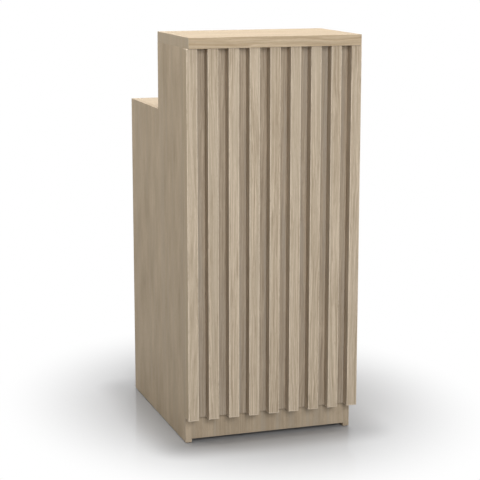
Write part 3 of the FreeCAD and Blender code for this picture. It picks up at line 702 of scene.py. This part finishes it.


# stage, light and camera

# the floor is grey around the counter as a painted shadow halo and white further off, and bounce is the
# colour that lights the counter
stageLook = {"floorSize": 40.0, "floor": (173, 173, 174), "bounce": (152, 152, 152), "roughness": 0.12,
             "gloss": 0.1, "patchMiddle": (0.04, 0.085, 0.0), "patchStretch": (1.0, 0.816, 0.0),
             "patchRange": (0.21, 0.76), "footprint": (0.25, 0.3, 0.0), "footShadeReach": (0.0, 0.14),
             "white": (1, 1, 1, 1), "whiteStrength": 1.0, "ambient": 0.15}


def makeFloor():
    look = stageLook
    mesh = bpy.data.meshes.new("floor")
    shape = bmesh.new()
    bmesh.ops.create_grid(shape, x_segments=1, y_segments=1, size=look["floorSize"] / 2)
    shape.to_mesh(mesh)
    shape.free()
    floor = bpy.data.objects.new("floor", mesh)
    bpy.context.scene.collection.objects.link(floor)
    material, tree, shader, place = startMaterial("floor_pale")
    shader.inputs["Roughness"].default_value = look["roughness"]
    shader.inputs["Specular IOR Level"].default_value = look["gloss"]
    # the painted shadow halo fades to white around the counter, but stays grey at its foot
    past = vectorNode(tree, "SUBTRACT", vectorNode(tree, "ABSOLUTE", place), look["footprint"])
    fromFoot = vectorNode(tree, "LENGTH", vectorNode(tree, "MAXIMUM", past))
    offset = vectorNode(tree, "SUBTRACT", place, look["patchMiddle"])
    fromShadeMiddle = vectorNode(tree, "LENGTH", vectorNode(tree, "MULTIPLY", offset, look["patchStretch"]))
    shadeFadeShare = mathNode(tree, "MULTIPLY", ramp(tree, fromFoot, *look["footShadeReach"]),
                   ramp(tree, fromShadeMiddle, *look["patchRange"]))
    rays = addNode(tree, "LightPath").outputs
    seen = mathNode(tree, "MAXIMUM", rays["Is Camera Ray"], rays["Is Glossy Ray"])
    paint = mixColor(tree, seen, tone(*look["bounce"]), tone(*look["floor"]))
    setSocket(tree, shader.inputs["Base Color"], paint)
    glow = addNode(tree, "Emission", Color=look["white"], Strength=look["whiteStrength"])
    blend = addNode(tree, "MixShader", in0=mathNode(tree, "MULTIPLY", shadeFadeShare, seen), in1=shader.outputs[0],
                    in2=glow.outputs[0])
    setSocket(tree, tree.nodes["Material Output"].inputs["Surface"], blend.outputs[0])
    mesh.materials.append(material)


def makeWorld():
    look = stageLook
    world = bpy.data.worlds.new("studio")
    bpy.context.scene.world = world
    world.use_nodes = True
    tree = world.node_tree
    shade = tree.nodes["Background"]
    shade.inputs["Color"].default_value = look["white"]
    rays = addNode(tree, "LightPath").outputs
    seen = mathNode(tree, "MAXIMUM", rays["Is Camera Ray"], rays["Is Glossy Ray"])
    seen = mathNode(tree, "MAXIMUM", seen, rays["Is Transmission Ray"])
    strength = addNode(tree, "Mix", data_type="FLOAT", in0=seen, in2=look["ambient"],
                       in3=look["whiteStrength"])
    setSocket(tree, shade.inputs["Strength"], strength.outputs[0])


# low lamps stay out of reflections, because their mirror images would lie on the floor
lamps = {
    "top": dict(place=(0.1, 0.1, 3.6), aim=(0.0, 0.0, 0.9), size=(2.8, 2.8), power=74, shine=True),
    "front": dict(place=(-0.4, -4.6, 2.0), aim=(0.0, -0.3, 0.6), size=(1.6, 2.4), power=134, shine=False),
    "leftFront": dict(place=(-3.0, -3.0, 2.6), aim=(0.0, -0.3, 0.7), size=(1.6, 2.4), power=18, shine=False),
    "left": dict(place=(-2.4, 0.5, 2.4), aim=(-0.2, 0.0, 0.9), size=(1.8, 1.8), power=25, shine=False),
    "right": dict(place=(3.0, -0.4, 3.0), aim=(0.0, 0.0, 0.6), size=(2.4, 2.4), power=34, shine=True),
    "rear": dict(place=(0.8, 4.0, 2.3), aim=(0.0, 0.1, 0.6), size=(2.4, 2.4), power=85, shine=False),
}


def makeLamps():
    for name, look in lamps.items():
        data = bpy.data.lights.new(name, "AREA")
        data.shape = "RECTANGLE"
        data.size, data.size_y = look["size"]
        data.energy = look["power"]
        lamp = bpy.data.objects.new(name, data)
        lamp.location = look["place"]
        lamp.rotation_euler = (Vector(look["aim"]) - lamp.location).to_track_quat("-Z", "Y").to_euler()
        lamp.visible_glossy = look["shine"]
        bpy.context.scene.collection.objects.link(lamp)


cameraLook = {"place": (-1.3872, -4.1961, 1.4033), "turn": 0.3201, "tilt": 0.1966, "focalPixels": 1501.5,
              "imagePixels": 480, "sensor": 36.0}


def makeCamera():
    look = cameraLook
    data = bpy.data.cameras.new("camera")
    data.sensor_width = look["sensor"]
    data.sensor_height = look["sensor"]
    data.sensor_fit = "HORIZONTAL"
    data.lens = look["focalPixels"] / look["imagePixels"] * look["sensor"]
    camera = bpy.data.objects.new("camera", data)
    camera.location = look["place"]
    camera.rotation_euler = (quarter - look["tilt"], 0, -look["turn"])
    bpy.context.scene.collection.objects.link(camera)
    bpy.context.scene.camera = camera


makeFloor()
makeWorld()
makeLamps()
makeCamera()
bpy.context.scene.view_settings.view_transform = "Standard"
print("stage ready")
